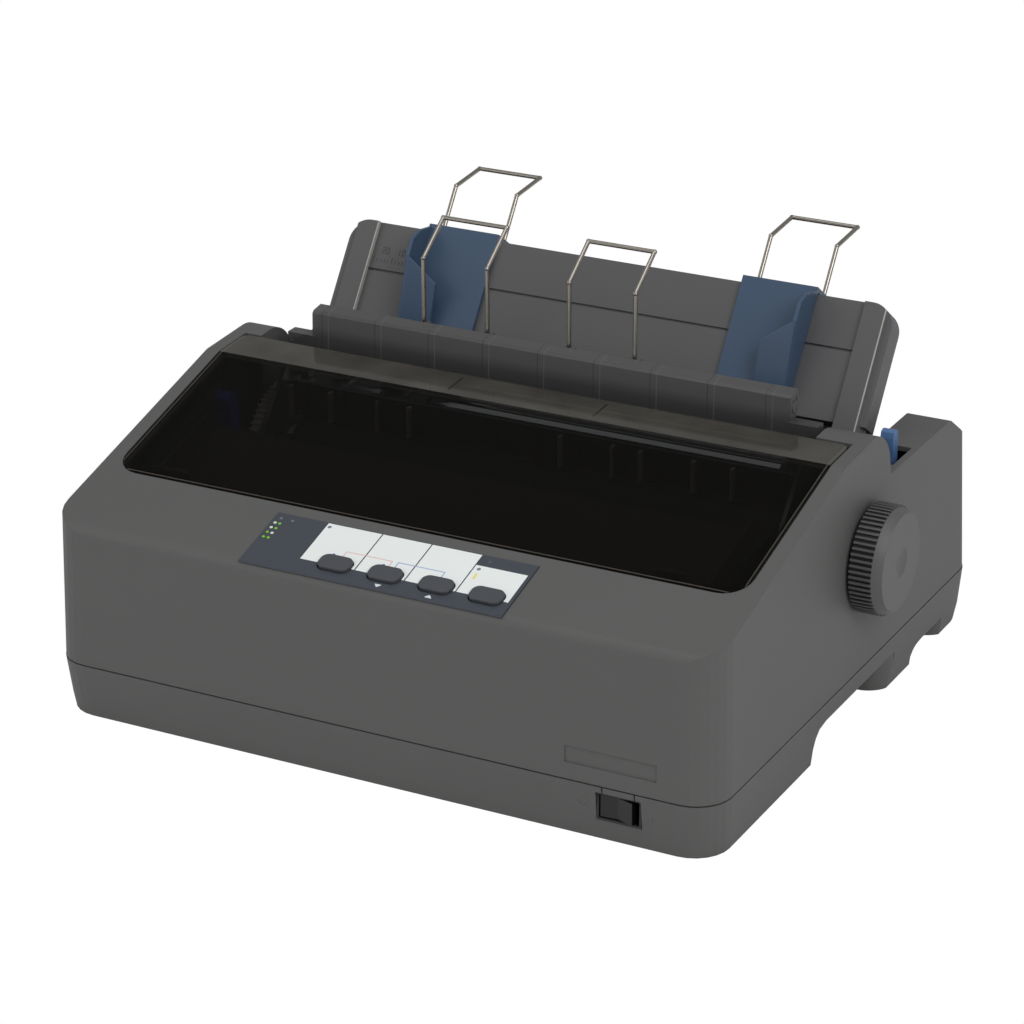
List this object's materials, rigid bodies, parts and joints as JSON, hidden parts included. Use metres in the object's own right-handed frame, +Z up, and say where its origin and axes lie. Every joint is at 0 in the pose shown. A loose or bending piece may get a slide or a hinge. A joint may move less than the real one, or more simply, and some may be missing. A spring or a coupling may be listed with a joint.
{
  "type": "dot matrix printer",
  "caption": "Desktop impact printer with a hinged smoked cover, paper knob, tear-off tension unit, folding rear paper support with sliding guides and tractor feed.",
  "frame": {"origin": "middle of the object's box, at the floor", "axes": "+Z up, front faces -Y, the paper knob is on the +X side"},
  "size_m": [0.3504, 0.2994, 0.1966],
  "materials": {
    "case_grey": "fine moulded texture",
    "case_grey_dark": "fine moulded texture",
    "rubber_black": "matte",
    "zinc_steel": "zinc plated",
    "ground_steel": "ground and plated shaft",
    "bearing_plastic": "natural acetal",
    "black_plastic": "satin",
    "motor_metal": "satin",
    "belt_rubber": "toothed belt",
    "board_green": "solder mask",
    "board_brown": "bare laminate",
    "plug_metal": "satin",
    "overlay": "printed film",
    "lamp": "clear tinted",
    "cartridge": "smooth",
    "platen_rubber": "ground rubber",
    "gear_plastic": "natural acetal",
    "brass": "turned",
    "knob_grey": "fine texture",
    "head_metal": "cast, finned",
    "smoke": "smoked, half clear",
    "inner_dark": "satin",
    "tension_grey": "smoked, half clear",
    "nickel_wire": "nickel plated",
    "roller_white": "satin",
    "guide_blue": "satin",
    "lever_blue": "satin",
    "lever_navy": "satin",
    "button_grey": "satin",
    "rocker_black": "smooth"
  },
  "bodies": {
    "base": {"lower_case": "case_grey", "upper_case": "case_grey", "rubber_feet": "rubber_black", "case_screws": "zinc_steel", "chassis_plate": "zinc_steel", "side_plate_left": "zinc_steel", "side_plate_right": "zinc_steel", "platen_bushes": "bearing_plastic", "guide_shafts": "ground_steel", "carriage_rail": "zinc_steel", "paper_guide": "black_plastic", "rear_tray": "case_grey_dark", "feed_motor": "motor_metal", "carriage_motor": "motor_metal", "drive_belt": "belt_rubber", "main_board": "board_green", "power_supply": "board_brown", "ac_inlet": "black_plastic", "interface_ports": "plug_metal", "panel_board": "board_green", "panel_overlay": "overlay", "status_lights": "lamp", "switch_housing": "black_plastic", "hinge_pins": "ground_steel", "ribbon_cartridge": "cartridge"},
    "platen": {"platen_roller": "platen_rubber", "platen_shaft": "ground_steel", "platen_gear": "gear_plastic", "paper_knob": "knob_grey"},
    "feed_pinion": {"feed_pinion": "brass"},
    "idler_gear": {"idler_gear": "gear_plastic"},
    "tractor_shaft": {"tractor_shaft": "ground_steel"},
    "tractor_left": {"tractor_left": "black_plastic"},
    "tractor_right": {"tractor_right": "black_plastic"},
    "sprocket_left": {"sprocket_left": "gear_plastic"},
    "sprocket_right": {"sprocket_right": "gear_plastic"},
    "tractor_lid_left": {"tractor_lid_left": "black_plastic"},
    "tractor_lid_right": {"tractor_lid_right": "black_plastic"},
    "carriage": {"print_carriage": "black_plastic", "print_head": "head_metal"},
    "belt_drive_pulley": {"belt_drive_pulley": "brass"},
    "belt_idler_pulley": {"belt_idler_pulley": "gear_plastic"},
    "ribbon_knob": {"ribbon_knob": "lever_navy"},
    "cover": {"smoked_cover": "smoke", "cover_inner_panel": "inner_dark"},
    "tension_unit": {"tension_unit": "tension_grey", "tension_wires": "nickel_wire"},
    "tension_rollers": {"tension_rollers": "roller_white"},
    "paper_support": {"paper_support": "case_grey"},
    "guide_left": {"guide_left": "guide_blue", "guide_wire_left": "nickel_wire"},
    "guide_right": {"guide_right": "guide_blue", "guide_wire_right": "nickel_wire"},
    "release_lever": {"release_lever": "lever_blue"},
    "thickness_lever": {"thickness_lever": "lever_navy"},
    "button_1": {"button_1": "button_grey"},
    "button_2": {"button_2": "button_grey"},
    "button_3": {"button_3": "button_grey"},
    "button_4": {"button_4": "button_grey"},
    "power_rocker": {"power_rocker": "rocker_black"}
  },
  "joints": [
    {"name": "platen_spin", "type": "hinge", "parent": "base", "child": "platen", "pos_m": [-0.00765, 0.014, 0.0813], "axis": [1, 0, 0], "continuous": true},
    {"name": "feed_pinion_spin", "type": "hinge", "parent": "base", "child": "feed_pinion", "pos_m": [-0.14765, 0.014, 0.0453], "axis": [1, 0, 0], "continuous": true},
    {"name": "idler_spin", "type": "hinge", "parent": "base", "child": "idler_gear", "pos_m": [-0.14765, 0.056, 0.0813], "axis": [1, 0, 0], "continuous": true},
    {"name": "tractor_shaft_spin", "type": "hinge", "parent": "base", "child": "tractor_shaft", "pos_m": [-0.00765, 0.087, 0.0813], "axis": [1, 0, 0], "continuous": true},
    {"name": "tractor_left_slide", "type": "slide", "parent": "base", "child": "tractor_left", "axis": [1, 0, 0], "range_m": [-0.012, 0.06]},
    {"name": "tractor_right_slide", "type": "slide", "parent": "base", "child": "tractor_right", "axis": [1, 0, 0], "range_m": [-0.06, 0.012]},
    {"name": "sprocket_left_spin", "type": "hinge", "parent": "tractor_left", "child": "sprocket_left", "pos_m": [-0.11565, 0.087, 0.0813], "axis": [1, 0, 0], "continuous": true},
    {"name": "sprocket_right_spin", "type": "hinge", "parent": "tractor_right", "child": "sprocket_right", "pos_m": [0.10035, 0.087, 0.0813], "axis": [1, 0, 0], "continuous": true},
    {"name": "tractor_lid_left_open", "type": "hinge", "parent": "tractor_left", "child": "tractor_lid_left", "pos_m": [-0.12315, 0.091, 0.094], "axis": [0, -1, 0], "range_deg": [0, 90]},
    {"name": "tractor_lid_right_open", "type": "hinge", "parent": "tractor_right", "child": "tractor_lid_right", "pos_m": [0.10785, 0.091, 0.094], "axis": [0, 1, 0], "range_deg": [0, 90]},
    {"name": "carriage_travel", "type": "slide", "parent": "base", "child": "carriage", "axis": [1, 0, 0], "range_m": [-0.101, 0.101]},
    {"name": "drive_pulley_spin", "type": "hinge", "parent": "base", "child": "belt_drive_pulley", "pos_m": [-0.11965, -0.045, 0.046], "axis": [0, 0, 1], "range_deg": [-1000, 1000]},
    {"name": "idler_pulley_spin", "type": "hinge", "parent": "base", "child": "belt_idler_pulley", "pos_m": [0.10435, -0.045, 0.046], "axis": [0, 0, 1], "range_deg": [-1000, 1000]},
    {"name": "ribbon_knob_turn", "type": "hinge", "parent": "base", "child": "ribbon_knob", "pos_m": [-0.10265, -0.084, 0.096], "axis": [0, 0, 1], "continuous": true},
    {"name": "cover_open", "type": "hinge", "parent": "base", "child": "cover", "pos_m": [-0.00765, 0.0076, 0.1316], "axis": [-1, 0, 0], "range_deg": [0, 90]},
    {"name": "tension_tilt", "type": "hinge", "parent": "base", "child": "tension_unit", "pos_m": [-0.00765, 0.023, 0.117], "axis": [-1, 0, 0], "range_deg": [0, 20]},
    {"name": "tension_roller_spin", "type": "hinge", "parent": "tension_unit", "child": "tension_rollers", "pos_m": [-0.00765, 0.024, 0.1425], "axis": [1, 0, 0], "continuous": true},
    {"name": "support_fold", "type": "hinge", "parent": "base", "child": "paper_support", "pos_m": [-0.00765, 0.0675, 0.1145], "axis": [-1, 0, 0], "range_deg": [0, 50]},
    {"name": "guide_left_slide", "type": "slide", "parent": "paper_support", "child": "guide_left", "axis": [1, 0, 0], "range_m": [-0.022, 0.04]},
    {"name": "guide_right_slide", "type": "slide", "parent": "paper_support", "child": "guide_right", "axis": [1, 0, 0], "range_m": [-0.04, 0.022]},
    {"name": "release_lever_turn", "type": "hinge", "parent": "base", "child": "release_lever", "pos_m": [0.14635, 0.067, 0.078], "axis": [1, 0, 0], "range_deg": [0, 18]},
    {"name": "thickness_lever_turn", "type": "hinge", "parent": "base", "child": "thickness_lever", "pos_m": [-0.15165, -0.025, 0.084], "axis": [1, 0, 0], "range_deg": [0, 12]},
    {"name": "button_1_press", "type": "slide", "parent": "base", "child": "button_1", "axis": [0, 0.2678, -0.9635], "range_m": [0, 0.001], "stiffness_N_per_m": 300, "springref_m": -0.001},
    {"name": "button_2_press", "type": "slide", "parent": "base", "child": "button_2", "axis": [0, 0.2678, -0.9635], "range_m": [0, 0.001], "stiffness_N_per_m": 300, "springref_m": -0.001},
    {"name": "button_3_press", "type": "slide", "parent": "base", "child": "button_3", "axis": [0, 0.2678, -0.9635], "range_m": [0, 0.001], "stiffness_N_per_m": 300, "springref_m": -0.001},
    {"name": "button_4_press", "type": "slide", "parent": "base", "child": "button_4", "axis": [0, 0.2678, -0.9635], "range_m": [0, 0.001], "stiffness_N_per_m": 300, "springref_m": -0.001},
    {"name": "power_rocker_turn", "type": "hinge", "parent": "base", "child": "power_rocker", "pos_m": [0.11415, -0.14, 0.0174], "axis": [0, 0, 1], "range_deg": [0, 14]}
  ],
  "couplings": [
    {"joint": "feed_pinion_spin", "follows": "platen_spin", "ratio": -5},
    {"joint": "idler_spin", "follows": "platen_spin", "ratio": -2.5},
    {"joint": "tractor_shaft_spin", "follows": "platen_spin", "ratio": 1.5789},
    {"joint": "sprocket_left_spin", "follows": "platen_spin", "ratio": 1.5789},
    {"joint": "sprocket_right_spin", "follows": "platen_spin", "ratio": 1.5789},
    {"joint": "drive_pulley_spin", "follows": "carriage_travel", "rad_per_m": -166.67},
    {"joint": "idler_pulley_spin", "follows": "carriage_travel", "rad_per_m": -166.67}
  ]
}
